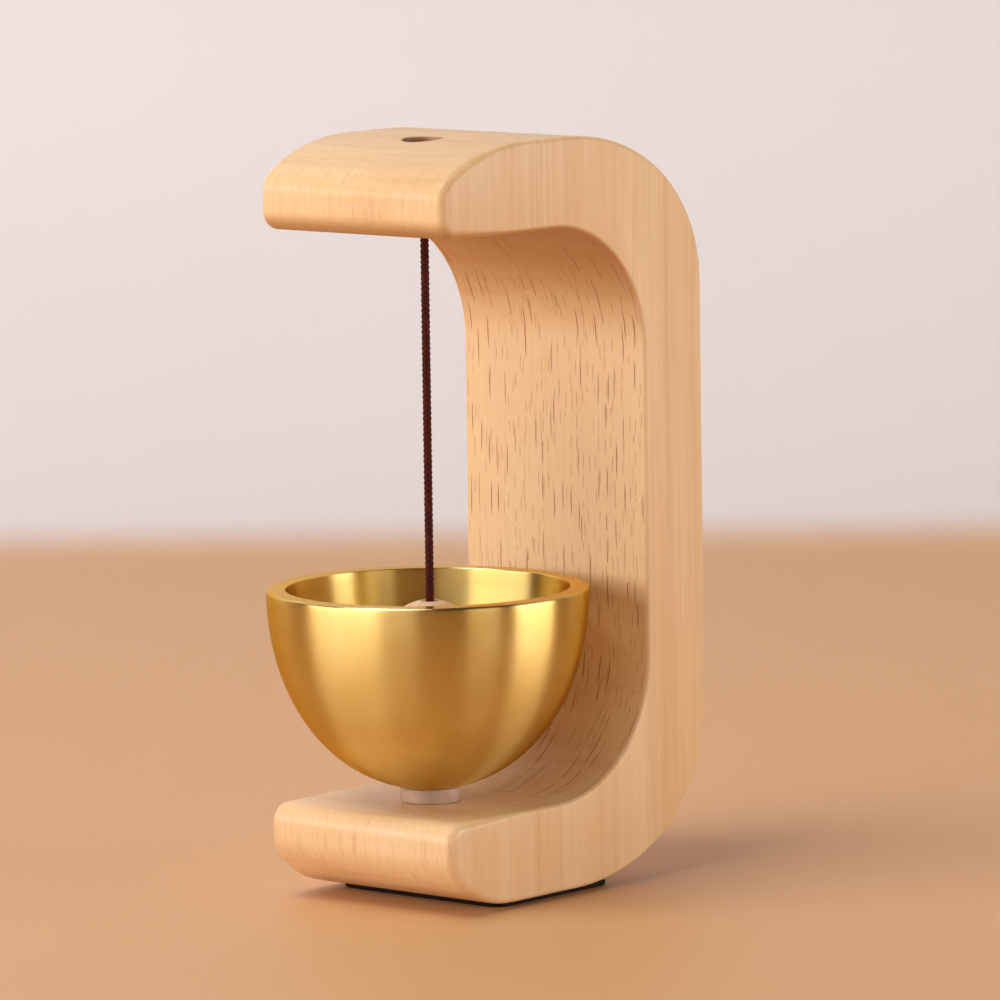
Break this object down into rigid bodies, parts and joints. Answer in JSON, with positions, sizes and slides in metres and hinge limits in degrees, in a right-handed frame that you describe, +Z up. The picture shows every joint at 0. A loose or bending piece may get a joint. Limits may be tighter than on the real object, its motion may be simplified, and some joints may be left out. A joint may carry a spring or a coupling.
{
  "type": "table bell",
  "caption": "Standing brass bowl bell in a C-shaped wooden frame, rung by a wooden bead that hangs on a cord from the upper arm",
  "frame": {"origin": "bottom centre of the whole object's box, on the surface that it stands on", "axes": "+Z up, the open side of the C-shaped frame faces -Y, +X to the right seen from the front"},
  "size_m": [0.051, 0.0712, 0.12],
  "materials": {
    "beech": "smooth oiled beech with short dark flecks",
    "pad": "matt dark foam",
    "brass": "satin, turned",
    "silicone": "cloudy translucent",
    "steel": "zinc plated",
    "cord": "round braid",
    "bead_wood": "smooth turned"
  },
  "bodies": {
    "frame": {"wood_frame": "beech", "base_pad": "pad", "lower_washer": "silicone", "upper_washer": "silicone", "bell_screw": "steel", "top_knot": "cord", "cord_in_arm": "cord"},
    "bowl": {"bell_bowl": "brass"},
    "bend": {"cord_bend": "cord"},
    "striker": {"striker_cord": "cord", "bottom_knot": "cord", "striker_bead": "bead_wood"}
  },
  "joints": [
    {"name": "bowl_turn", "type": "hinge", "parent": "frame", "child": "bowl", "pos_m": [0, -0.01015, 0.0175], "axis": [0, 0, 1], "continuous": true},
    {"name": "striker_turn", "type": "hinge", "parent": "frame", "child": "bend", "pos_m": [0, -0.00965, 0.1068], "axis": [0, 0, 1], "continuous": true},
    {"name": "striker_swing", "type": "hinge", "parent": "bend", "child": "striker", "pos_m": [0, -0.00965, 0.1068], "axis": [1, 0, 0], "range_deg": [-10.75, 10.75]}
  ]
}
